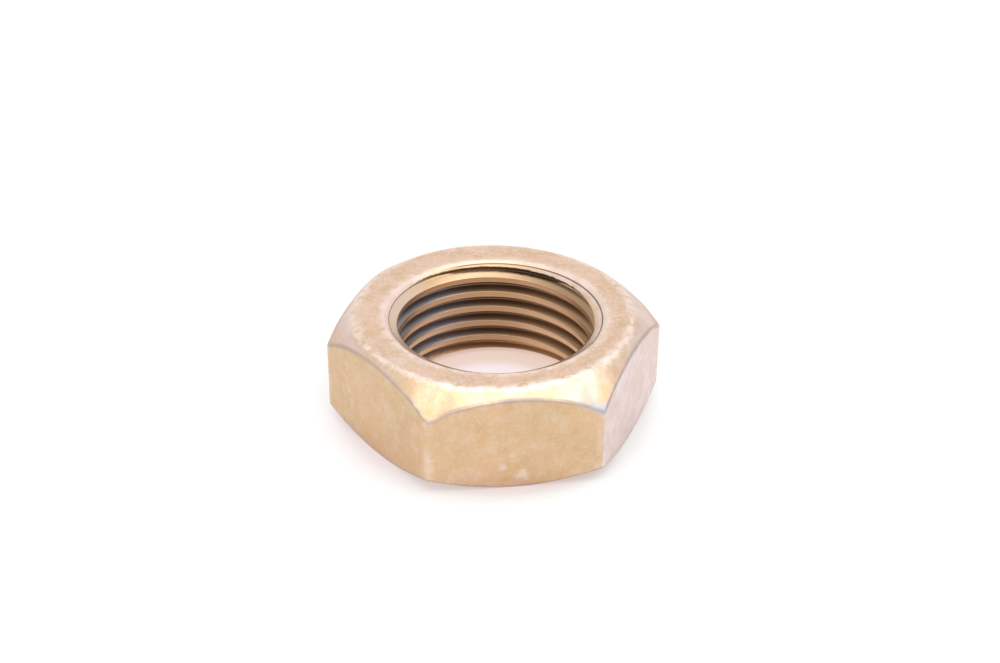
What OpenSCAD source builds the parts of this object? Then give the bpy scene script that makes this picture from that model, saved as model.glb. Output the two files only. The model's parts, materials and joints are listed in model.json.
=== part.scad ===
// Thin hexagon lock nut with a chamfer on both faces and a right-hand 1-12 UNF thread
// The origin is the centre of the bottom bearing face, with +Z along the bore

/* [Hexagon] */
// Width across the flats
across_flats = 34.925; // [32:0.005:44]
// Thickness from bearing face to bearing face
nut_height = 12.7; // [9:0.1:20]
// How far each corner of the hexagon is turned down, measured along the radius
corner_trim = 0.12; // [0.05:0.01:0.6]

/* [Chamfers] */
// How far the top bearing ring stays inside the flats
top_inset = 0.94; // [0.2:0.01:1.6]
// Slope of the top chamfer below the top face, in degrees
top_slope = 35; // [20:1:42]
// How far the bottom bearing ring stays inside the flats
bottom_inset = 0.1; // [0.05:0.01:1.6]
// Slope of the bottom chamfer above the bottom face, in degrees
bottom_slope = 31; // [20:1:42]

/* [Thread] */
// Nominal diameter of the thread
thread_d = 25.4; // [20:0.1:26.4]
// Threads in each inch of height
threads_per_inch = 12; // [10:1:20]
// How much wider the drilled bore is than the basic minor radius
bore_relief = 0.12; // [0:0.005:0.2]
// Direction in which the groove leaves the bottom face, in degrees
thread_start = 254; // [0:1:360]

/* [Countersinks] */
// Radius of the top countersink beyond the thread's nominal radius
top_sink_margin = 0.55; // [0.1:0.05:1]
// Radius of the bottom countersink beyond the thread's nominal radius
bottom_sink_margin = 0.15; // [0.1:0.05:1]
// Included angle of both countersinks
sink_angle = 120; // [90:1:130]

/* [Hidden] */
$fn = 96;

inch = 25.4;
flat_angle = 30;
eps = 0.5;

// Hexagon
corner_r = across_flats / 2 / cos(flat_angle);
envelope_r = corner_r - corner_trim;
top_r = across_flats / 2 - top_inset;
bottom_r = across_flats / 2 - bottom_inset;
top_drop = (envelope_r - top_r) * tan(top_slope);
bottom_rise = (envelope_r - bottom_r) * tan(bottom_slope);

// Thread, with the basic 60 degree profile
pitch = inch / threads_per_inch;
flank_angle = 30;
major_r = thread_d / 2;
sharp_depth = pitch * cos(flank_angle);
bore_r = major_r - 5 / 8 * sharp_depth + bore_relief;
root_half = pitch / 16;
cutter_r = bore_r - 0.15 * pitch;
cutter_half = root_half + (major_r - cutter_r) * tan(flank_angle);
steps_per_turn = 60;

// Countersinks
top_sink_r = major_r + top_sink_margin;
bottom_sink_r = major_r + bottom_sink_margin;
sink_slope = 90 - sink_angle / 2;

module hexagon_bar() {
  cylinder(r = corner_r, h = nut_height, $fn = 6);
}

// The turned outline that trims the corners and chamfers both faces
module turned_outline() {
  rotate_extrude()
    polygon([
      [0, 0],
      [bottom_r, 0],
      [envelope_r, bottom_rise],
      [envelope_r, nut_height - top_drop],
      [top_r, nut_height],
      [0, nut_height]
    ]);
}

// The drilled bore with a countersink at each end, as one turned cutter
module bore_and_sinks() {
  top_depth = (top_sink_r - bore_r) * tan(sink_slope);
  bottom_depth = (bottom_sink_r - bore_r) * tan(sink_slope);
  lift = eps * tan(sink_slope);
  rotate_extrude()
    polygon([
      [0, -lift],
      [bottom_sink_r + eps, -lift],
      [bore_r, bottom_depth],
      [bore_r, nut_height - top_depth],
      [top_sink_r + eps, nut_height + lift],
      [0, nut_height + lift]
    ]);
}

// One cross-section of the groove cutter at a distance along the helix, in degrees
function groove_ring(turn_angle) = [
  for (p = [
    [cutter_r, -cutter_half],
    [major_r, -root_half],
    [major_r, root_half],
    [cutter_r, cutter_half]
  ]) [
    p[0] * cos(turn_angle + thread_start),
    p[0] * sin(turn_angle + thread_start),
    p[1] + pitch * turn_angle / 360
  ]
];

// The helical groove, which runs out through both faces
module thread_groove() {
  first = -steps_per_turn;
  last = ceil((nut_height / pitch + 1) * steps_per_turn);
  rings = last - first + 1;
  points = [for (i = [first:last]) each groove_ring(i * 360 / steps_per_turn)];
  sides = [
    for (i = [0:rings - 2], j = [0:3]) each [
      [4 * i + j, 4 * i + (j + 1) % 4, 4 * i + 4 + j],
      [4 * i + (j + 1) % 4, 4 * i + 4 + (j + 1) % 4, 4 * i + 4 + j]
    ]
  ];
  end = 4 * (rings - 1);
  caps = [[3, 2, 1, 0], [end, end + 1, end + 2, end + 3]];
  polyhedron(points = points, faces = concat(sides, caps), convexity = 10);
}

module nut() {
  color([0.78, 0.62, 0.42])
    difference() {
      intersection() {
        hexagon_bar();
        turned_outline();
      }
      bore_and_sinks();
      thread_groove();
    }
}

nut();
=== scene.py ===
import json
import math

import bpy
from mathutils import Matrix, Vector


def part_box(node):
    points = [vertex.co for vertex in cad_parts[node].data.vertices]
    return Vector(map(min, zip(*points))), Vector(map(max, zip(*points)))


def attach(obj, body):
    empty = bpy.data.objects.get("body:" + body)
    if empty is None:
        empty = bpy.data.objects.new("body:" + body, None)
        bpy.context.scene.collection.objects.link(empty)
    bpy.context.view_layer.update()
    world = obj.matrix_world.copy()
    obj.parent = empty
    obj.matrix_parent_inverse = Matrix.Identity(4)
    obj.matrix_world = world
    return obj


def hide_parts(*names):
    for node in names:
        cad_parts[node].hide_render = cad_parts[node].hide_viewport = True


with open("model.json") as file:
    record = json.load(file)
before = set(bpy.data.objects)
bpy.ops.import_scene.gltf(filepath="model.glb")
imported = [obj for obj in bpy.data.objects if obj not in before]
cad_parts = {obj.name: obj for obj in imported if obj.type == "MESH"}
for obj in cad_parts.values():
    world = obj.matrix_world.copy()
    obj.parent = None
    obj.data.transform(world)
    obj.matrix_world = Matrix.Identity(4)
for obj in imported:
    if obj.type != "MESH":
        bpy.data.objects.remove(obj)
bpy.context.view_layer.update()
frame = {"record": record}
mm = 0.001
tau = 2 * math.pi


# Formulas on node sockets: a Field is a socket that can be added, multiplied and so on

class Field:
    def __init__(self, tree, socket):
        self.tree, self.socket = tree, socket

    def calc(self, operation, *others):
        node = self.tree.nodes.new("ShaderNodeMath")
        node.operation = operation
        for slot, value in zip(node.inputs, (self, *others)):
            plug(self.tree, slot, value)
        return Field(self.tree, node.outputs[0])

    def __add__(self, other):
        return self.calc("ADD", other)

    def __radd__(self, other):
        return self.calc("ADD", other)

    def __sub__(self, other):
        return self.calc("SUBTRACT", other)

    def __rsub__(self, other):
        return self.calc("MULTIPLY_ADD", -1.0, other)

    def __mul__(self, other):
        return self.calc("MULTIPLY", other)

    def __rmul__(self, other):
        return self.calc("MULTIPLY", other)

    def __truediv__(self, other):
        return self.calc("DIVIDE", other)

    def low(self, other):
        return self.calc("MINIMUM", other)

    def high(self, other):
        return self.calc("MAXIMUM", other)

    def sin(self):
        return self.calc("SINE")

    def cos(self):
        return self.calc("COSINE")

    def tan(self):
        return self.calc("TANGENT")

    def root(self):
        return self.calc("SQRT")

    def size(self):
        return self.calc("ABSOLUTE")

    def below(self, other):
        return self.calc("LESS_THAN", other)

    def floor(self):
        return self.calc("FLOOR")

    def to(self, other, share):  # straight blend from this field to the other one
        return self + (other - self) * share


def plug(tree, slot, value):
    if isinstance(value, Field):
        tree.links.new(value.socket, slot)
    else:
        slot.default_value = value


def ramp(field, start, end, low=0.0, high=1.0, smooth=True):  # maps start..end to low..high
    node = field.tree.nodes.new("ShaderNodeMapRange")
    node.interpolation_type = "SMOOTHSTEP" if smooth else "LINEAR"
    for slot, value in zip(node.inputs, (field, start, end, low, high)):
        plug(field.tree, slot, value)
    return Field(field.tree, node.outputs[0])


def pick(tree, index, kind, items):  # one of the items, by number
    node = tree.nodes.new("GeometryNodeIndexSwitch")
    node.data_type = kind
    while len(node.index_switch_items) < len(items):
        node.index_switch_items.new()
    plug(tree, node.inputs["Index"], index)
    for slot, value in zip(node.inputs[1:], items):
        plug(tree, slot, value)
    return Field(tree, node.outputs[0])


def xyz(tree, x, y, z):
    node = tree.nodes.new("ShaderNodeCombineXYZ")
    for slot, value in zip(node.inputs, (x, y, z)):
        plug(tree, slot, value)
    return Field(tree, node.outputs[0])


def noise(tree, vector, scale, detail=2.0, rough=0.5, warp=0.0):
    node = tree.nodes.new("ShaderNodeTexNoise")
    plug(tree, node.inputs["Vector"], vector)
    settings = {"Scale": scale, "Detail": detail, "Roughness": rough, "Distortion": warp}
    for name, value in settings.items():
        node.inputs[name].default_value = value
    return Field(tree, node.outputs[0])


# The nut. Its overall sizes and its bore come from the frame.

lowCorner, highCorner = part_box("nut")
mounts = {mount["name"]: mount for mount in frame["record"]["mounts"]}
threadMount = mounts["thread"]
acrossFlats = highCorner.y - lowCorner.y

nut = {
    "Across Flats": acrossFlats,
    "Height": highCorner.z,
    "Corner Fillet": 0.8 * mm,  # rounding of the six upright corners
    "Top Ring": acrossFlats / 2 - 0.94 * mm,  # outer radius of the flat ring on top
    "Top Slope": math.radians(35.3),
    "Bottom Ring": acrossFlats / 2 - 0.1 * mm,
    "Bottom Slope": math.radians(31.2),
    "Ring Shift X": -0.22 * mm,  # the top chamfer was turned a little off centre
    "Ring Shift Y": 0.48 * mm,
    "Thread Radius": 12.7 * mm,
    "Bore Radius": threadMount["dims"]["r_mm"] * mm,
    "Pitch": 25.4 * mm / 12,
    "Groove Height": 0.623 * mm,  # of the groove's middle over the bottom face, on the +X side
    "Top Sink": 13.25 * mm,
    "Bottom Sink": 12.85 * mm,
    "Flank Slope": math.radians(30),  # of the thread and of both countersinks
    "Edge Softness": 0.14 * mm,
    "Corner Wear": 0.42 * mm,  # how far the six top corners are knocked down
    "Corner Softness": 0.3 * mm,
    "Ring Softness": 0.35 * mm,
    "Crest Rounding": 0.05 * mm,
    "Root Rounding": 0.12 * mm,
    "Ledge": 0.045 * mm,  # step where the top countersink ran into the first thread
    "Burr": 0.13 * mm,  # how ragged the thin first thread is
    "Seed": 3.0,
}
columns = 360  # steps round the nut
weldDistance = 0.001 * mm
cornerRows = 7  # rows of points round each edge of the outside
turnRows = 18  # rows of points in each turn of the thread


def namedInputs(tree, sizes):
    for name, value in sizes.items():
        item = tree.interface.new_socket(name, in_out="INPUT", socket_type="NodeSocketFloat")
        item.default_value = value
    source = tree.nodes.new("NodeGroupInput")
    return {name: Field(tree, source.outputs[name]) for name in sizes}


def grid(tree, rows):  # one column for each step round the nut; returns mesh, angle and row number
    node = tree.nodes.new("GeometryNodeMeshGrid")
    node.inputs["Size X"].default_value = 1.0
    node.inputs["Size Y"].default_value = 1.0
    node.inputs["Vertices X"].default_value = columns + 1
    node.inputs["Vertices Y"].default_value = rows
    place = tree.nodes.new("ShaderNodeSeparateXYZ")
    tree.links.new(tree.nodes.new("GeometryNodeInputPosition").outputs[0], place.inputs[0])
    share = Field(tree, place.outputs["X"]) + 0.5
    row = (Field(tree, place.outputs["Y"]) * (rows - 1) + (rows / 2)).floor()
    return node.outputs["Mesh"], share * tau, row


def turned(tree, mesh, angle, radius, height):  # puts each grid point at its radius and height
    node = tree.nodes.new("GeometryNodeSetPosition")
    tree.links.new(mesh, node.inputs["Geometry"])
    plug(tree, node.inputs["Position"], xyz(tree, radius * angle.cos(), radius * angle.sin(), height))
    return node.outputs["Geometry"]


def hexagonRadius(sizes, angle):  # distance from the axis to the side faces, corners rounded
    half = sizes["Across Flats"] / 2
    fillet = sizes["Corner Fillet"]
    offCorner = angle.calc("PINGPONG", math.pi / 6)
    flat = half / (math.pi / 6 - offCorner).cos()
    filletCentre = (half - fillet) / math.cos(math.pi / 6)
    sideways = filletCentre * offCorner.sin()
    rounded = filletCentre * offCorner.cos() + (fillet * fillet - sideways * sideways).high(0.0).root()
    touch = math.pi / 6 - ((half - fillet) * math.tan(math.pi / 6) / half).calc("ARCTANGENT")
    return flat.to(rounded, offCorner.below(touch))


def grooveHeight(sizes, angle):  # height of the groove's middle in the first turn
    return sizes["Groove Height"] + angle * sizes["Pitch"] / tau


def threadRadius(sizes, angle, height):  # 60 degree thread with slightly rounded crest and root
    fromGroove = (height - grooveHeight(sizes, angle)).calc("PINGPONG", sizes["Pitch"] / 2)
    flank = sizes["Thread Radius"] - (fromGroove - sizes["Pitch"] / 16) / sizes["Flank Slope"].tan()
    root = flank.calc("SMOOTH_MIN", sizes["Thread Radius"], sizes["Root Rounding"])
    return root.calc("SMOOTH_MAX", sizes["Bore Radius"], sizes["Crest Rounding"])


def ringNoise(tree, sizes, angle, scale, level):  # noise round the nut that meets itself
    around = xyz(tree, angle.cos(), angle.sin(), level + sizes["Seed"])
    return noise(tree, around, scale, detail=3.0, rough=0.6)


def topLip(tree, sizes, angle):  # where the top countersink meets the thread
    slope = sizes["Flank Slope"].tan()
    depth = sizes["Thread Radius"] - sizes["Bore Radius"]
    half = sizes["Pitch"] / 16
    coneHeight = sizes["Height"] - (sizes["Top Sink"] - sizes["Thread Radius"]) * slope
    first = grooveHeight(sizes, angle)
    turns = ((coneHeight + half - first) / sizes["Pitch"]).calc("CEIL") - 1.0
    groove = first + turns * sizes["Pitch"]
    reach = ((coneHeight - groove - half) / (slope * 2)).high(0.0).low(depth)
    ragged = ringNoise(tree, sizes, angle, 14.0, 2.0) * sizes["Burr"]
    fade = ramp(reach, 0.15 * mm, 0.45 * mm) * ramp(reach, depth - 0.25 * mm, depth, 1.0, 0.0)
    reach = (reach - ragged * fade).high(0.0)
    ledge = ramp(reach, 0.0, 0.15 * mm, 0.0, sizes["Ledge"])
    ledge = ledge * ramp(angle.cos(), -0.7, -0.3, 0.2, 1.0)  # shallower on the -X side
    lipHeight = coneHeight - reach * slope - ledge
    whole = (depth - 0.01 * mm).below(reach)  # the cone runs down onto a whole crest
    under = (groove + half + reach * slope).low(lipHeight - 0.02 * mm)
    under = under.to(lipHeight - 0.02 * mm, whole)
    return coneHeight, reach, ledge, under


def bottomLip(sizes, angle):
    slope = sizes["Flank Slope"].tan()
    depth = sizes["Thread Radius"] - sizes["Bore Radius"]
    half = sizes["Pitch"] / 16
    coneHeight = (sizes["Bottom Sink"] - sizes["Thread Radius"]) * slope
    first = grooveHeight(sizes, angle)
    turns = ((coneHeight - half - first) / sizes["Pitch"]).floor() + 1.0
    groove = first + turns * sizes["Pitch"]
    reach = ((groove - half - coneHeight) / (slope * 2)).high(0.0).low(depth)
    lipHeight = coneHeight + reach * slope
    whole = (depth - 0.01 * mm).below(reach)
    over = (groove - half - reach * slope).high(lipHeight + 0.02 * mm)
    over = over.to(lipHeight + 0.02 * mm, whole)
    return coneHeight, reach, over


# One edge of the outside, as points on a soft curve from the face before it to the face after it

def softEdge(step, at, before, after, softness):
    def towards(end):
        across, up = end[0] - at[0], end[1] - at[1]
        length = (across * across + up * up).root()
        size = softness.low(length * 0.3) / length
        return at[0] + across * size, at[1] + up * size, across * size, up * size

    start, end = towards(before), towards(after)
    along = ((step - 1.0) / 4).high(0.0).low(1.0)
    back = 1.0 - along
    outside = [step.below(0.5) * 0.6, (5.5 - step).below(0.0) * 0.6]  # the rows just off the curve
    point = []
    for axis in (0, 1):
        curve = start[axis] * back * back + at[axis] * along * back * 2 + end[axis] * along * along
        point.append(curve + start[axis + 2] * outside[0] + end[axis + 2] * outside[1])
    return point


def outsideShell(tree, sizes):
    rows = 6 * cornerRows
    mesh, angle, row = grid(tree, rows)
    corner = (row / cornerRows + 0.001).floor()
    step = row - corner * cornerRows
    onFlats = (corner - 2.5).size().below(2.0)  # 0 on the two bore rims, 1 between them
    angle = angle - (angle * 6).sin() * onFlats * (0.8 / 6)  # columns gather at the hexagon's corners
    wall = hexagonRadius(sizes, angle)
    shift = sizes["Ring Shift X"] * angle.cos() + sizes["Ring Shift Y"] * angle.sin()
    topRing = sizes["Top Ring"] + shift
    slope = sizes["Flank Slope"].tan()
    sinkTop = sizes["Height"] - (sizes["Top Sink"] - sizes["Thread Radius"]) * slope
    sinkBottom = (sizes["Bottom Sink"] - sizes["Thread Radius"]) * slope
    zero = sizes["Height"] * 0.0
    atCorner = ramp(angle.calc("PINGPONG", math.pi / 6), 0.16, 0.0)
    uneven = ramp(ringNoise(tree, sizes, angle, 1.6, 3.0), 0.35, 0.65, 0.7, 1.3)
    knocked = atCorner * sizes["Corner Wear"] * uneven
    line = [
        (sizes["Thread Radius"], sinkBottom),
        (sizes["Bottom Sink"], zero),
        (sizes["Bottom Ring"], zero),
        (wall, (wall - sizes["Bottom Ring"]) * sizes["Bottom Slope"].tan()),
        (wall, sizes["Height"] - (wall - topRing) * sizes["Top Slope"].tan() - knocked),
        (topRing, sizes["Height"]),
        (sizes["Top Sink"], sizes["Height"]),
        (sizes["Thread Radius"], sinkTop),
    ]

    def choose(first):
        return [pick(tree, corner, "FLOAT", [p[axis] for p in line[first:first + 6]]) for axis in (0, 1)]

    edge, ring = sizes["Edge Softness"], sizes["Ring Softness"]
    softness = pick(tree, corner, "FLOAT", [edge, ring, edge, edge, ring, edge])
    worn = ringNoise(tree, sizes, angle, 9.0, corner * 7.0)
    softness = softness * ramp(worn, 0.3, 0.75, 0.6, 1.7, smooth=False)
    knockedSoftness = [zero, zero, zero, atCorner * sizes["Corner Softness"], zero, zero]
    softness = softness + pick(tree, corner, "FLOAT", knockedSoftness)
    radius, height = softEdge(step, choose(1), choose(0), choose(2), softness)
    return turned(tree, mesh, angle, radius, height)


def topSink(tree, sizes):
    mesh, angle, row = grid(tree, 10)
    coneHeight, reach, ledge, under = topLip(tree, sizes, angle)
    slope = sizes["Flank Slope"].tan()
    worn = ringNoise(tree, sizes, angle, 9.0, 35.0)
    softness = sizes["Edge Softness"] * ramp(worn, 0.3, 0.75, 0.6, 1.7, smooth=False)
    rim = (sizes["Top Sink"], sizes["Height"])
    lastStep = row * 0 + 6.0
    onRing, coneFoot = (sizes["Top Ring"], sizes["Height"]), (sizes["Thread Radius"], coneHeight)
    start = softEdge(lastStep, rim, onRing, coneFoot, softness)
    onCone = lambda back, drop: (sizes["Thread Radius"] - back, coneHeight - back * slope - drop)
    zero = reach * 0.0
    line = [
        start,
        onCone(zero - 0.12 * mm, zero),
        onCone(zero - 0.03 * mm, zero),
        onCone(zero, ledge),
        onCone(reach * 0.06, ledge),
        onCone(reach * 0.5, ledge),
        onCone(reach * 0.9, ledge),
        onCone(reach * 0.98, ledge),
        onCone(reach, ledge),
        (threadRadius(sizes, angle, under), under),
    ]
    radius, height = (pick(tree, row, "FLOAT", [p[axis] for p in line]) for axis in (0, 1))
    return turned(tree, mesh, angle, radius, height)


def threadWall(tree, sizes, turns, topTurn):
    mesh, angle, row = grid(tree, turns * turnRows + 1)
    turn = (row / turnRows + 0.001).floor()
    step = row - turn * turnRows
    half = sizes["Pitch"] / 16
    crest = half + (sizes["Thread Radius"] - sizes["Bore Radius"]) * sizes["Flank Slope"].tan()
    zero = half * 0.0
    # rows from the groove's middle down to the crest's middle, closest at the crest's edge
    down = [zero, half * 0.45, half * 1.3, half * 2.1, (half + crest) / 2]
    down += [crest - 0.1 * mm, crest - 0.035 * mm, crest + 0.02 * mm, crest + 0.07 * mm]
    down.append(sizes["Pitch"] / 2)
    down += [sizes["Pitch"] - gap for gap in reversed(down[1:-1])]
    height = grooveHeight(sizes, angle) + (topTurn - turn) * sizes["Pitch"]
    height = height - pick(tree, step, "FLOAT", down)
    under, over = topLip(tree, sizes, angle)[3], bottomLip(sizes, angle)[2]
    height = height.low(under).high(over)
    return turned(tree, mesh, angle, threadRadius(sizes, angle, height), height)


def bottomSink(tree, sizes):
    mesh, angle, row = grid(tree, 7)
    coneHeight, reach, over = bottomLip(sizes, angle)
    slope = sizes["Flank Slope"].tan()
    worn = ringNoise(tree, sizes, angle, 9.0, 0.0)
    softness = sizes["Edge Softness"] * ramp(worn, 0.3, 0.75, 0.6, 1.7, smooth=False)
    zero = reach * 0.0
    rim = (sizes["Bottom Sink"], zero)
    end = softEdge(zero, rim, (sizes["Thread Radius"], coneHeight), (sizes["Bottom Ring"], zero), softness)
    onCone = lambda back: (sizes["Thread Radius"] - back, coneHeight + back * slope)
    line = [(threadRadius(sizes, angle, over), over)]
    line += [onCone(reach * share) for share in (1.0, 0.97, 0.5, 0.0)]
    line += [onCone(zero - 0.05 * mm), end]
    radius, height = (pick(tree, row, "FLOAT", [p[axis] for p in line]) for axis in (0, 1))
    return turned(tree, mesh, angle, radius, height)


def nutTree(material):
    tree = bpy.data.node_groups.new("hexNutShape", "GeometryNodeTree")
    sizes = namedInputs(tree, nut)
    tree.interface.new_socket("Geometry", in_out="OUTPUT", socket_type="NodeSocketGeometry")
    topTurn = math.ceil((nut["Height"] - nut["Groove Height"]) / nut["Pitch"])
    turns = topTurn + 1 + math.ceil(nut["Groove Height"] / nut["Pitch"])
    join = tree.nodes.new("GeometryNodeJoinGeometry")
    surfaces = [
        outsideShell(tree, sizes),
        topSink(tree, sizes),
        threadWall(tree, sizes, turns, topTurn),
        bottomSink(tree, sizes),
    ]
    for surface in surfaces:
        tree.links.new(surface, join.inputs[0])
    weld = tree.nodes.new("GeometryNodeMergeByDistance")
    weld.inputs["Distance"].default_value = weldDistance
    smooth = tree.nodes.new("GeometryNodeSetShadeSmooth")
    realize = tree.nodes.new("GeometryNodeRealizeInstances")
    finish = tree.nodes.new("GeometryNodeSetMaterial")
    finish.inputs["Material"].default_value = material
    out = tree.nodes.new("NodeGroupOutput")
    chain = [join, weld, smooth, realize, finish, out]
    for first, second in zip(chain, chain[1:]):
        tree.links.new(first.outputs[0], second.inputs[0])
    return tree


def makeNut(material):
    carrier = bpy.data.objects.new("nutCarrier", bpy.data.meshes.new("nutCarrier"))
    bpy.context.collection.objects.link(carrier)
    modifier = carrier.modifiers.new("shape", "NODES")
    modifier.node_group = nutTree(material)
    for item in modifier.node_group.interface.items_tree:
        if item.in_out == "INPUT":
            modifier[item.identifier] = nut[item.name]
    shaped = carrier.evaluated_get(bpy.context.evaluated_depsgraph_get())
    mesh = bpy.data.meshes.new_from_object(shaped)
    carrier.modifiers.remove(modifier)
    bpy.data.objects.remove(carrier)
    piece = bpy.data.objects.new("hexNut", mesh)
    bpy.context.collection.objects.link(piece)
    return piece


# Yellow zinc plating on steel, with shade and highlights painted in. Colours are linear, and lengths are
# in metres.

plate = {
    "gold": (0.69, 0.465, 0.27),
    "greenGold": (0.63, 0.46, 0.27),
    "deepGold": (0.62, 0.4, 0.215),
    "pinkGold": (0.74, 0.48, 0.35),
    "haze": (0.72, 0.55, 0.41),
    "lilac": (0.7, 0.555, 0.53),
    "paleLilac": (0.86, 0.7, 0.64),
    "lilacBloom": (0.8, 0.665, 0.65),
    "topTan": (0.855, 0.605, 0.45),
    "mauve": (0.76, 0.61, 0.56),
    "lilacSide": math.radians(-30),  # the side face where the plating turned pink
    "roughness": 0.36,
    "grain": 0.02 * mm,  # depth of the fine grain
    "dents": 0.06 * mm,
}
wear = {
    "worn": (0.9, 0.77, 0.7),
    "cornerSilver": (0.5, 0.52, 0.55),
    "edgeGrey": (0.45, 0.4, 0.42),
    "ringNarrow": 0.4 * mm,  # worn ring where the top chamfer starts
    "ringWide": 1.3 * mm,
    "rim": 1.05 * mm,  # reach of the wear round the countersink
    "arc": 0.36 * mm,  # half width of the grey line along the side faces' arcs
    "upright": 0.95 * mm,
    "knockReach": 2.8 * mm,
}
thread = {
    # painted shade on the thread crests below the first turn, darkest low down in the middle of the bore
    "crestShadeDeep": (0.44, 0.265, 0.14),
    "crestShadeUpper": (0.64, 0.39, 0.2),
    "crestShadeSides": (0.72, 0.5, 0.31),  # painted lighter at the two sides of the bore
    # painted shade on the thread's flanks and roots, browner in the middle, bluer to the left and tanner
    # to the right
    "flankShadeBrown": (0.225, 0.145, 0.09),
    "flankShadeBlue": (0.27, 0.26, 0.28),
    "tan": (0.33, 0.215, 0.125),
    "lipShadow": (0.14, 0.075, 0.045),
    "lipShadowDeep": (0.07, 0.04, 0.025),
    "roughness": 0.3,
    "bandThin": 0.2 * mm,  # painted shadow band under the lip, at its left end
    "bandWide": 0.78 * mm,  # at the back
    "bandExtra": 0.17 * mm,  # added to the right of the back
    "ragged": 0.16 * mm,
}
wornSpots = [  # place, radius and strength of each bare patch
    ((-1.5 * mm, -17.4 * mm, 2.8 * mm), 0.9 * mm, 0.4),
    ((0.8 * mm, -17.4 * mm, 1.7 * mm), 1.3 * mm, 0.5),
    ((-0.4 * mm, -17.4 * mm, 4.5 * mm), 0.7 * mm, 0.25),
    ((-12.7 * mm, -9.1 * mm, 12.7 * mm), 2.2 * mm, 0.45),
]
silverSpots = [  # knocks on the front right corner, down to the bare zinc
    ((7.4 * mm, -17.4 * mm, 10.6 * mm), 1.0 * mm, 0.6),
    ((8.8 * mm, -17.4 * mm, 10.2 * mm), 1.3 * mm, 0.9),
    ((9.9 * mm, -17.2 * mm, 9.7 * mm), 1.4 * mm, 1.0),
]


def tint(share, first, second):  # blend of two colours
    node = share.tree.nodes.new("ShaderNodeMix")
    node.data_type = "RGBA"
    plug(share.tree, node.inputs[0], share)
    for slot, colour in ((node.inputs[6], first), (node.inputs[7], second)):
        plug(share.tree, slot, colour if isinstance(colour, Field) else (*colour, 1))
    return Field(share.tree, node.outputs[2])


def surfacePlace(tree):  # object coordinates and the object's own normal
    coords = tree.nodes.new("ShaderNodeTexCoord")
    parts = []
    for name in ("Object", "Normal"):
        split = tree.nodes.new("ShaderNodeSeparateXYZ")
        tree.links.new(coords.outputs[name], split.inputs[0])
        parts.append([Field(tree, out) for out in split.outputs])
    return Field(tree, coords.outputs["Object"]), *parts


def fromAxis(x, y):
    return (x * x + y * y).root()


def flatInsets(x, y):  # distance inside the nearest flat and inside the next nearest
    half = nut["Across Flats"] / 2
    across = [y.size()]
    for sign in (1, -1):
        across.append((x * math.cos(math.pi / 6) + y * (sign * math.sin(math.pi / 6))).size())
    most = across[0].high(across[1]).high(across[2])
    least = across[0].low(across[1]).low(across[2])
    middle = across[0] + across[1] + across[2] - most - least
    return half - most, half - middle


def mottling(tree, spot, place):  # the plating's cloudy patterns, from broad to fine
    x, y, z = place
    return {
        "cloud": noise(tree, spot, 130.0, 4.0, 0.6, 0.4),
        "patch": noise(tree, xyz(tree, x + 0.31, y, z), 190.0, 3.0, 0.6),
        "weave": noise(tree, spot, 620.0, 4.0, 0.62),
        "speck": noise(tree, spot, 2300.0, 3.0, 0.6),
    }


def wearMasks(tree, spot, place):
    x, y, z = place
    radius = fromAxis(x, y)
    inset, nextInset = flatInsets(x, y)
    fromRing = fromAxis(x - nut["Ring Shift X"], y - nut["Ring Shift Y"]) - nut["Top Ring"]
    fine = noise(tree, spot, 900.0, 5.0, 0.65)
    broad = noise(tree, spot, 210.0, 3.0, 0.6)
    upper = ramp(z, 9 * mm, 11 * mm)
    side = ramp(inset, 0.32 * mm, 0.16 * mm)

    ringWidth = ramp(broad, 0.3, 0.7, wear["ringNarrow"], wear["ringWide"])
    ring = ramp(fromRing.size() / ringWidth, 1.0, 0.1) * ramp(fine, 0.34, 0.6) * upper
    rim = ramp((radius - nut["Top Sink"]).size(), wear["rim"], 0.1 * mm) * ramp(fine, 0.32, 0.62) * upper

    knocked = ramp(nextInset, wear["knockReach"], 0.1 * mm) * nut["Corner Wear"]
    topEdge = nut["Height"] - fromRing * math.tan(nut["Top Slope"]) - knocked - z
    lowEdge = z - (radius - nut["Bottom Ring"]) * math.tan(nut["Bottom Slope"])
    edge = topEdge.size().low(lowEdge.size()).high(inset * 0.8)
    arc = ramp(edge, wear["arc"], 0.08 * mm) * ramp(fine, 0.28, 0.5) * ramp(broad, 0.3, 0.6, 0.45, 1.0)
    arc = arc * ramp(radius, 16.6 * mm, 17.2 * mm)
    upright = ramp(nextInset, wear["upright"], 0.2 * mm) * side * ramp(fine + broad, 0.75, 1.25)
    chamfer = ramp(fromRing, 0.1 * mm, 0.9 * mm) * upper * ramp(topEdge, 0.3 * mm, 0.05 * mm)
    chamfer = chamfer * (1.0 - side)
    return {"ring": ring, "rim": rim, "arc": arc, "upright": upright, "side": side, "chamfer": chamfer,
            "fromRing": fromRing}


def wornPatches(tree, spot, place, spots, raggedness=1.4):
    x, y, z = place
    ragged = noise(tree, spot, 1500.0, 5.0, 0.7)
    total = None
    for (cx, cy, cz), reach, strength in spots:
        away = ((x - cx) * (x - cx) + (y - cy) * (y - cy) + (z - cz) * (z - cz)).root()
        patch = ramp(away / reach + (ragged - 0.5) * raggedness, 0.75, 0.2) * strength
        total = patch if total is None else total.high(patch)
    return total


def scratches(tree, place):  # fine lines in three directions
    x, y, z = place
    total = None
    for number, turn in enumerate((0.4, 1.5, 2.6)):
        along = x * math.cos(turn) + y * math.sin(turn)
        across = y * math.cos(turn) - x * math.sin(turn)
        stretched = xyz(tree, along * 150, across * 3600, z * 900 + number * 7.0)
        thin = ramp(noise(tree, stretched, 1.0, 1.0, 0.4, 0.6), 0.69, 0.76)
        total = thin if total is None else total.high(thin)
    return total


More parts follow.
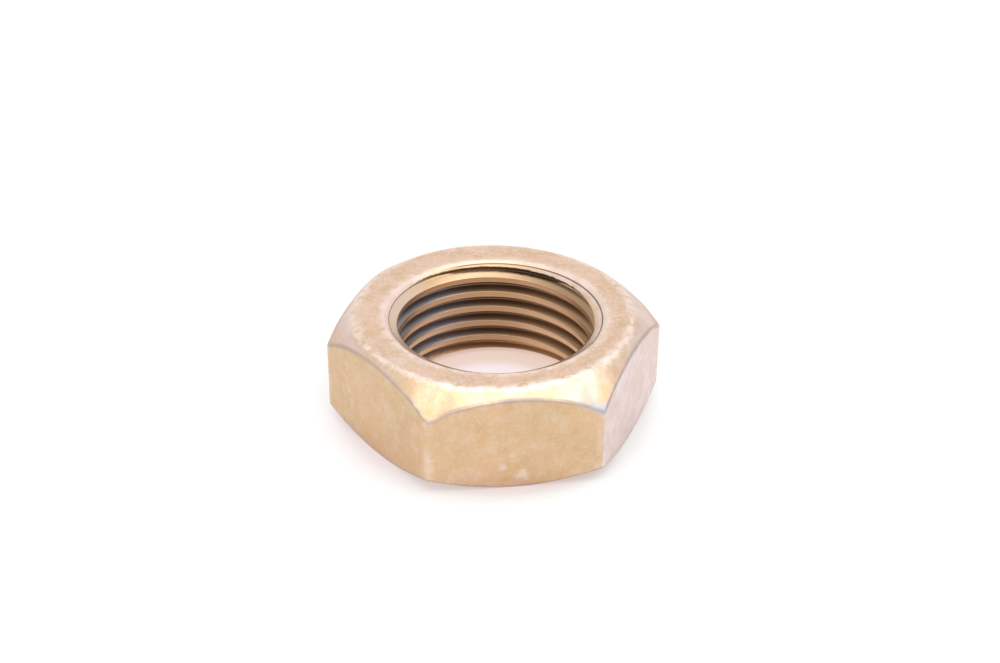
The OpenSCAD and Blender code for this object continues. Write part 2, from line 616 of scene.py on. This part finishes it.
def lipHeight(x, y):  # height of the thin first thread's edge
    slope = math.tan(nut["Flank Slope"])
    half = nut["Pitch"] / 16
    coneHeight = nut["Height"] - (nut["Top Sink"] - nut["Thread Radius"]) * slope
    angle = y.calc("ARCTAN2", x)
    angle = angle + angle.below(0.0) * tau
    first = angle * (nut["Pitch"] / tau) + nut["Groove Height"]
    turns = ((coneHeight + half - first) / nut["Pitch"]).calc("CEIL") - 1.0
    groove = first + turns * nut["Pitch"]
    reach = ((coneHeight - half - groove) / (slope * 2)).high(0.0)
    return coneHeight - reach * slope


def threadMasks(tree, spot, place):
    x, y, z = place
    radius = fromAxis(x, y)
    bore = ramp(radius, nut["Thread Radius"] + 0.2 * mm, nut["Thread Radius"] + 0.02 * mm)
    deep = ramp(radius, nut["Bore Radius"] + 0.005 * mm, nut["Bore Radius"] + 0.06 * mm)
    below = ramp(z, nut["Height"] - 1.4 * mm, nut["Height"] - 2.1 * mm)  # below the first turn
    # painted shade on the flanks and roots below the first turn
    paintedFlankShade = bore * deep * below * ramp(z, 0.95 * mm, 1.2 * mm)

    # painted shadow of the thin first thread's edge, on the root just under it
    ragged = noise(tree, spot, 1400.0, 4.0, 0.6) * thread["ragged"]
    drop = lipHeight(x, y) + ragged - z
    width = ramp(x, -9 * mm, -1.4 * mm, thread["bandThin"], thread["bandWide"])
    width = width + ramp(x, 1 * mm, 6 * mm, 0.0, thread["bandExtra"])
    width = width * ramp(x, 8 * mm, 11.4 * mm, 1.0, 0.5)
    lipShadowBand = ramp(drop, 0.0, 0.05 * mm) * ramp(drop / width, 1.05, 0.85)
    lipShadowBand = lipShadowBand * ramp(x, -10 * mm, -7 * mm) * ramp(x, 11.7 * mm, 10.9 * mm) * bore

    coneHeight = nut["Height"] - (nut["Top Sink"] - radius) * math.tan(nut["Flank Slope"])
    onCone = ramp((coneHeight - z).size(), 0.12 * mm, 0.07 * mm)
    # a thin dark line painted round the thread radius on the cone, as shade at the small step there
    line = ramp((radius - nut["Thread Radius"]).size(), 0.1 * mm, 0.03 * mm)
    line = line * ramp(x, -6 * mm, -2 * mm) * onCone
    cone = onCone * ramp(radius, 11.6 * mm, 12.6 * mm) * ramp(radius, 13.6 * mm, 13.3 * mm)
    return {"bore": bore, "below": below, "paintedFlankShade": paintedFlankShade, "lipShadowBand": lipShadowBand, "line": line, "cone": cone}


def sideColour(normal, mottle, worn, outside):  # gold mottling, pink on one side face
    cloud, weave = mottle["cloud"], mottle["weave"]
    colour = tint(ramp(cloud, 0.4, 0.7) * 0.7, plate["gold"], plate["greenGold"])
    colour = tint(ramp(mottle["patch"], 0.48, 0.75) * 0.4, colour, plate["pinkGold"])
    colour = tint(ramp(weave, 0.46, 0.7) * 0.6 * outside, colour, plate["haze"])
    colour = tint(ramp(weave, 0.46, 0.3) * 0.5 * outside, colour, plate["deepGold"])
    facing = normal[0] * math.cos(plate["lilacSide"]) + normal[1] * math.sin(plate["lilacSide"])
    lilac = ramp(facing, 0.8, 0.97) * worn["side"] * ramp(cloud, 0.3, 0.6, 0.7, 1.0)
    lilacShade = tint(ramp(weave * 0.6 + cloud * 0.4, 0.4, 0.62), plate["lilac"], plate["lilacBloom"])
    return tint(lilac, colour, lilacShade)


def chamferTintAndPaintedLight(colour, place, normal, mottle, worn):  # mauve behind, deeper gold painted towards the corners as shade, and a highlight painted pale to the front right
    x, y = place[:2]
    chamfer = worn["chamfer"]
    sideways = ramp(normal[1], -0.5, -0.2, 0.12, 1.0)
    colour = tint(chamfer * sideways * ramp(mottle["weave"], 0.3, 0.6, 0.45, 0.9), colour, plate["mauve"])
    # deeper gold painted on the chamfer away from the top ring, as shade where the highlight falls off
    # towards the corners
    cornerStart = ramp(x, 0.0, 8 * mm, 1.2 * mm, 2.1 * mm)
    corner = ramp(worn["fromRing"], cornerStart, 3.3 * mm)
    colour = tint(chamfer * corner * 0.75, colour, plate["deepGold"])
    # a highlight painted pale on the front right of the chamfer
    paintedHighlight = ramp(x, 4.5 * mm, 7.5 * mm) * ramp(x, 10.1 * mm, 9.0 * mm) * ramp(y, -9 * mm, -12 * mm)
    return tint(chamfer * paintedHighlight * 0.65, colour, plate["paleLilac"])


def topColour(colour, top, mottle, outside):
    share = ramp(mottle["weave"] * 0.5 + mottle["patch"] * 0.5, 0.38, 0.62, 0.35, 0.95)
    colour = tint(top * share, colour, plate["topTan"])
    specks = ramp(mottle["speck"], 0.48, 0.68) * (top * 0.55 + 0.18) * outside
    return tint(specks, colour, plate["paleLilac"])


def paintedCrestShade(colour, place, inBore):
    x, z = place[0], place[2]
    # crests below the first turn painted darker as shade, lighter higher up and towards the two sides
    crest = tint(ramp(z, 4 * mm, 10 * mm), thread["crestShadeDeep"], thread["crestShadeUpper"])
    crest = tint(ramp(x.size(), 2 * mm, 9 * mm), crest, thread["crestShadeSides"])
    return tint(inBore["bore"] * inBore["below"] * 0.85, colour, crest)


def grooveWearAndPaintedShade(colour, place, mottle, inBore):  # painted shade on the flanks, and the painted shadow band and dark line under the lip
    x = place[0]
    # painted shade on the flanks: browner in the middle, bluer to the left, tanner to the right
    flank = tint(ramp(x, 1 * mm, -8 * mm), thread["flankShadeBrown"], thread["flankShadeBlue"])
    flank = tint(ramp(x, 3 * mm, 9 * mm), flank, thread["tan"])
    colour = tint(inBore["paintedFlankShade"] * ramp(mottle["cloud"], 0.3, 0.7, 0.85, 1.0), colour, flank)
    pale = ramp(x.size(), 3 * mm, 10 * mm) * ramp(mottle["weave"], 0.35, 0.6, 0.45, 0.9)
    colour = tint(inBore["cone"] * pale, colour, plate["paleLilac"])
    firstFlank = inBore["bore"] * (1.0 - inBore["below"]) * ramp(x, -6 * mm, -10 * mm)
    colour = tint(firstFlank * 0.5, colour, plate["paleLilac"])
    # painted shadow under the lip, darker to the right
    lipShade = tint(ramp(x, 0.0, 5 * mm), thread["lipShadow"], thread["lipShadowDeep"])
    # the dark line on the cone is painted in the same shadow colour
    return tint((inBore["lipShadowBand"] * 0.95).high(inBore["line"] * 0.8), colour, lipShade)


def plating():
    material = bpy.data.materials.new("yellowZincPlating")
    material.use_nodes = True
    tree = material.node_tree
    shader = tree.nodes["Principled BSDF"]
    spot, place, normal = surfacePlace(tree)
    y, z = place[1:]
    mottle = mottling(tree, spot, place)
    worn = wearMasks(tree, spot, place)
    inBore = threadMasks(tree, spot, place)
    outside = 1.0 - inBore["bore"]
    top = ramp(z, nut["Height"] - 0.5 * mm, nut["Height"] - 0.05 * mm) * outside

    colour = sideColour(normal, mottle, worn, outside)
    colour = chamferTintAndPaintedLight(colour, place, normal, mottle, worn)
    colour = topColour(colour, top, mottle, outside)
    colour = paintedCrestShade(colour, place, inBore)

    # wear, least on the rim at the back
    bare = (worn["ring"] * 0.95).high(worn["rim"] * ramp(y, 6 * mm, 12 * mm, 0.85, 0.45))
    bare = bare.high(worn["upright"] * 0.42).high(wornPatches(tree, spot, place, wornSpots))
    bare = bare.high(scratches(tree, place) * (top * 0.25 + 0.03)) * outside
    colour = tint(bare, colour, wear["worn"])
    colour = tint(worn["arc"] * outside * 0.68, colour, wear["edgeGrey"])
    colour = tint(wornPatches(tree, spot, place, silverSpots, 0.7), colour, wear["cornerSilver"])
    colour = grooveWearAndPaintedShade(colour, place, mottle, inBore)
    plug(tree, shader.inputs["Base Color"], colour)

    rough = ramp(mottle["cloud"], 0.3, 0.7, plate["roughness"] - 0.05, plate["roughness"] + 0.07)
    rough = rough + bare * 0.15 + worn["rim"] * 0.15 + worn["arc"] * 0.25
    boreRough = thread["roughness"] + mottle["speck"] * 0.08
    plug(tree, shader.inputs["Roughness"], rough.to(boreRough, inBore["bore"]))
    shader.inputs["Metallic"].default_value = 1.0

    grain = noise(tree, spot, 4200.0, 4.0, 0.6) * plate["grain"]
    dents = noise(tree, spot, 420.0, 3.0, 0.55) * plate["dents"] * (worn["side"] * 0.8 + 0.2) * outside
    bump = tree.nodes.new("ShaderNodeBump")
    bump.inputs["Distance"].default_value = 1.0
    bump.inputs["Strength"].default_value = 1.0
    plug(tree, bump.inputs["Height"], grain * (outside * 0.7 + 0.3) + dents)
    tree.links.new(bump.outputs[0], shader.inputs["Normal"])
    print("plating made:", len(tree.nodes), "nodes")
    return material


nutPiece = makeNut(plating())
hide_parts("nut")
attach(nutPiece, "root")
print("nut made:", len(nutPiece.data.vertices), "points,", len(nutPiece.data.polygons), "faces")


# Floor, light and camera

table = {
    "size": 1.2,
    "gap": 0.02 * mm,  # under the nut
    "white": (0.35, 0.35, 0.35),
    # painted reflected light on the floor in the middle of the bore
    "middle": (0.365, 0.32, 0.33),
    "paintedWarmBounce": (0.335, 0.26, 0.23),  # painted reflected light: the nut's own colour falling on the floor in the bore
    "shade": (0.285, 0.28, 0.275),  # soft contact shadow
    "pinkShade": (0.29, 0.25, 0.243),
    # painted pink glow of light reflected off the nut
    "pinkGlow": (0.33, 0.285, 0.29),
    "glow": 1.75,
    "roughness": 0.75,
    "boreReach": 15.5 * mm,
    "shadeStart": 17.5 * mm,
    "shadeReach": 22.3 * mm,
    "glowReach": 25 * mm,
    "narrowing": 1.12,  # the shadow is narrower at the two side corners
}


def floorWithPaintedLight():
    material = bpy.data.materials.new("paleFloor")
    material.use_nodes = True
    tree = material.node_tree
    shader = tree.nodes["Principled BSDF"]
    x, y = surfacePlace(tree)[1][:2]
    radius = fromAxis(x, y)
    spread = (x * x * table["narrowing"] + y * y).root()
    colour = tint(ramp(spread, table["shadeReach"], table["shadeStart"]), table["white"], table["shade"])
    # painted glow of pinkish reflected light on the floor to the left of the nut
    left = ramp(x, 2 * mm, -12 * mm)
    glow = left * ramp(spread, table["glowReach"], table["shadeStart"], 0.0, 0.5)
    colour = tint(glow, colour, table["pinkGlow"])
    # painted shade tinted pink by the nut's reflected colour, close round the nut, grey to the right
    pink = ramp(radius, 19.8 * mm, 17.8 * mm) * (1.0 - left * 0.6) * ramp(x, 14 * mm, 8 * mm)
    colour = tint(pink, colour, table["pinkShade"])
    # painted reflected light on the floor inside the bore, pinkish in the middle and warmer towards the
    # wall
    inside = ramp(radius, table["boreReach"], table["boreReach"] - 2 * mm)
    paintedWarmBounce = tint(ramp(radius, 7.8 * mm, 10.2 * mm), table["middle"], table["paintedWarmBounce"])
    colour = tint(inside, colour, paintedWarmBounce)
    plug(tree, shader.inputs["Base Color"], colour)
    plug(tree, shader.inputs["Emission Color"], colour)
    shader.inputs["Emission Strength"].default_value = table["glow"]
    shader.inputs["Roughness"].default_value = table["roughness"]
    return material


def makeFloor():
    half = table["size"] / 2
    corners = [(-half, -half, 0), (half, -half, 0), (half, half, 0), (-half, half, 0)]
    mesh = bpy.data.meshes.new("floor")
    mesh.from_pydata(corners, [], [(0, 1, 2, 3)])
    mesh.transform(Matrix.Translation((0, 0, lowCorner.z - table["gap"])))
    mesh.materials.append(floorWithPaintedLight())
    floor = bpy.data.objects.new("floor", mesh)
    bpy.context.collection.objects.link(floor)


studio = {
    "surround": 0.95,
    "power": 0.8,
    "width": 0.6,
    "depth": 0.24,
    "place": Vector((0.02, -0.1, 0.35)),
    "target": Vector((0, 0, 0.006)),
}


def makeLight():
    world = bpy.data.worlds.new("studio")
    world.use_nodes = True
    background = world.node_tree.nodes["Background"]
    background.inputs["Color"].default_value = (1.0, 1.0, 1.0, 1)
    background.inputs["Strength"].default_value = studio["surround"]
    bpy.context.scene.world = world
    light = bpy.data.lights.new("overhead", "AREA")
    light.shape = "RECTANGLE"
    light.energy, light.size, light.size_y = studio["power"], studio["width"], studio["depth"]
    lamp = bpy.data.objects.new("overhead", light)
    lamp.location = studio["place"]
    lamp.rotation_euler = (studio["target"] - studio["place"]).to_track_quat("-Z", "Y").to_euler()
    bpy.context.collection.objects.link(lamp)


view = {
    "lens": 64.0,
    "sensor": 36.0,
    "distance": 217.4 * mm,
    "aside": 0.64 * mm,  # how far the middle of the picture is off the nut's axis
    "above": 8.69 * mm,
    "tilt": math.radians(31.35),
    "turn": math.radians(8.2),  # of the nut, counter-clockwise from facing the camera
    "roll": math.radians(0.52),
}


def makeCamera():
    lens = bpy.data.cameras.new("camera")
    lens.lens, lens.sensor_width = view["lens"], view["sensor"]
    lens.clip_start, lens.clip_end = 0.01, 10.0
    camera = bpy.data.objects.new("camera", lens)
    swing = Matrix.Rotation(-view["turn"], 4, "Z")
    lean = Matrix.Rotation(math.pi / 2 - view["tilt"], 4, "X")
    roll = Matrix.Rotation(view["roll"], 4, "Z")
    offset = Matrix.Translation((view["aside"], view["above"], view["distance"]))
    camera.matrix_world = swing @ lean @ roll @ offset
    bpy.context.collection.objects.link(camera)
    bpy.context.scene.camera = camera


makeFloor()
makeLight()
makeCamera()
bpy.context.scene.view_settings.view_transform = "Standard"
print("floor, light and camera made")
